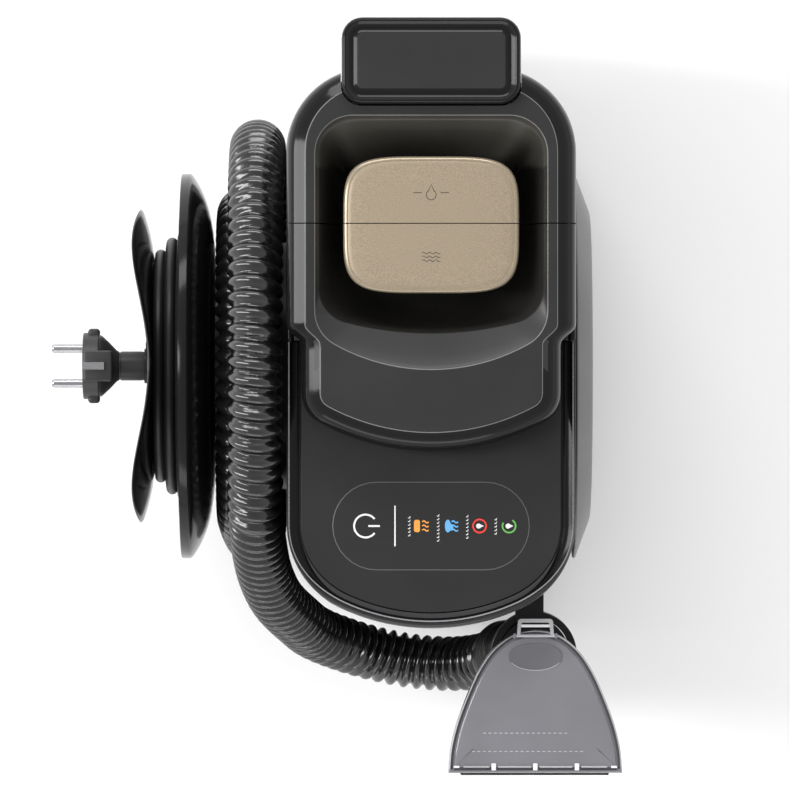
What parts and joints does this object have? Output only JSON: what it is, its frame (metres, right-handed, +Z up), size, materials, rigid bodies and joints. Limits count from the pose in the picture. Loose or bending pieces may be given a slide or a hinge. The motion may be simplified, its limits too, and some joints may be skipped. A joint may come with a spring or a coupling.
{
  "type": "portable carpet cleaner",
  "caption": "Upright spot cleaner with two lift-out tanks, side reel with ribbed suction hose and mains lead, and a docked upholstery nozzle.",
  "frame": {"origin": "on the floor, under the centre of the body's footprint", "axes": "+Z up, +Y to the rear where the carrying handle is, +X to the user's right, where the round side cover is"},
  "size_m": [0.3099, 0.4048, 0.298],
  "materials": {
    "casing": "satin black moulded plastic",
    "gloss_black": "polished black plastic",
    "deck": "fine matt dark grey plastic",
    "lens": "smooth dark touch lens",
    "light_guide": "clear white light guides",
    "board": "green circuit board",
    "motor": "steel motor can",
    "mount_rubber": "soft black rubber",
    "shaft": "ground steel",
    "fan": "cast light alloy",
    "filter": "pleated filter media",
    "side_grey": "silky grey plastic",
    "inner_plastic": "plain moulded plastic",
    "tubing": "silicone tube",
    "tank_clear": "smoked clear plastic",
    "champagne": "fine metallic champagne paint",
    "float_white": "white float",
    "lead": "black flexible mains lead",
    "plug": "satin black plug",
    "pins": "nickel plated contacts",
    "hose_black": "ribbed glossy black hose",
    "trigger": "dark grey lever",
    "smoke_window": "smoked clear window",
    "latch": "clear latch loop",
    "brush": "stiff black bristles"
  },
  "bodies": {
    "machine": {"base_pan": "casing", "main_housing": "casing", "handle_column": "casing", "hose_drum": "casing", "reel_plate": "casing", "cord_drum": "casing", "cord_flange": "casing", "plug_clip": "casing", "tool_dock": "casing", "tool_handle": "casing", "nozzle_base": "casing", "fan_housing": "casing", "suction_duct": "casing", "valve_receiver": "casing", "hose_outlet": "casing", "deck_trim": "gloss_black", "deck_panel": "deck", "control_lens": "lens", "icon_guides": "light_guide", "touch_board": "board", "main_board": "board", "suction_motor": "motor", "motor_mounts": "mount_rubber", "rubber_feet": "mount_rubber", "port_seal": "mount_rubber", "screws": "shaft", "steam_boiler": "fan", "water_pump": "inner_plastic", "solenoid_valve": "inner_plastic", "spray_nozzle": "inner_plastic", "water_tubes": "tubing", "cord_gland": "lead", "cord_winding": "lead", "cord_tail": "lead", "plug_body": "plug", "plug_pins": "pins", "plug_earth_clips": "pins", "hose": "hose_black", "brush_strip": "brush"},
    "clean_tank_unit": {"clean_tank": "tank_clear", "clean_tank_gasket": "mount_rubber", "clean_tank_lid": "gloss_black", "clean_tank_grip": "champagne", "valve_cage": "inner_plastic", "valve_spring": "shaft"},
    "valve_plunger": {"tank_valve": "inner_plastic"},
    "used_tank_unit": {"used_tank": "tank_clear", "used_tank_gasket": "mount_rubber", "used_tank_lid": "gloss_black", "used_tank_grip": "champagne", "float_cage": "inner_plastic"},
    "float_ball": {"float": "float_white"},
    "handle": {"carry_handle": "gloss_black"},
    "fan_rotor": {"motor_shaft": "shaft", "impeller": "fan"},
    "cover": {"side_cover": "side_grey", "exhaust_filter": "filter"},
    "nozzle_window": {"nozzle_cover": "smoke_window"},
    "latch_loop": {"nozzle_latch": "latch"},
    "trigger": {"tool_trigger": "trigger"}
  },
  "joints": [
    {"name": "clean_tank_lift", "type": "slide", "parent": "machine", "child": "clean_tank_unit", "axis": [0, 0, 1], "range_m": [0, 0.2]},
    {"name": "used_tank_lift", "type": "slide", "parent": "machine", "child": "used_tank_unit", "axis": [0, 0, 1], "range_m": [0, 0.2]},
    {"name": "tank_valve_push", "type": "slide", "parent": "clean_tank_unit", "child": "valve_plunger", "axis": [0, 0, 1], "range_m": [0, 0.004], "stiffness_N_per_m": 200, "springref_m": -0.003, "deforming": ["valve_spring"]},
    {"name": "float_rise", "type": "slide", "parent": "used_tank_unit", "child": "float_ball", "axis": [0, 0, 1], "range_m": [0, 0.022]},
    {"name": "handle_slide", "type": "slide", "parent": "machine", "child": "handle", "axis": [0, 0, 1], "range_m": [0, 0.055]},
    {"name": "fan_spin", "type": "hinge", "parent": "machine", "child": "fan_rotor", "pos_m": [0, -0.078, 0.15], "axis": [0, 0, 1], "continuous": true},
    {"name": "side_cover_pull", "type": "slide", "parent": "machine", "child": "cover", "axis": [1, 0, 0], "range_m": [0, 0.04]},
    {"name": "nozzle_window_lift", "type": "slide", "parent": "machine", "child": "nozzle_window", "axis": [0, 0, 1], "range_m": [0, 0.03]},
    {"name": "latch_tilt", "type": "hinge", "parent": "nozzle_window", "child": "latch_loop", "pos_m": [0.056, -0.152, 0.242], "axis": [1, 0, 0], "range_deg": [0, 25], "stiffness_Nm_per_rad": 0.02, "springref_deg": -17.19},
    {"name": "trigger_pull", "type": "hinge", "parent": "machine", "child": "trigger", "pos_m": [0.056, -0.1785, 0.199], "axis": [1, 0, 0], "range_deg": [0, 6], "stiffness_Nm_per_rad": 0.3, "springref_deg": -17.19}
  ]
}
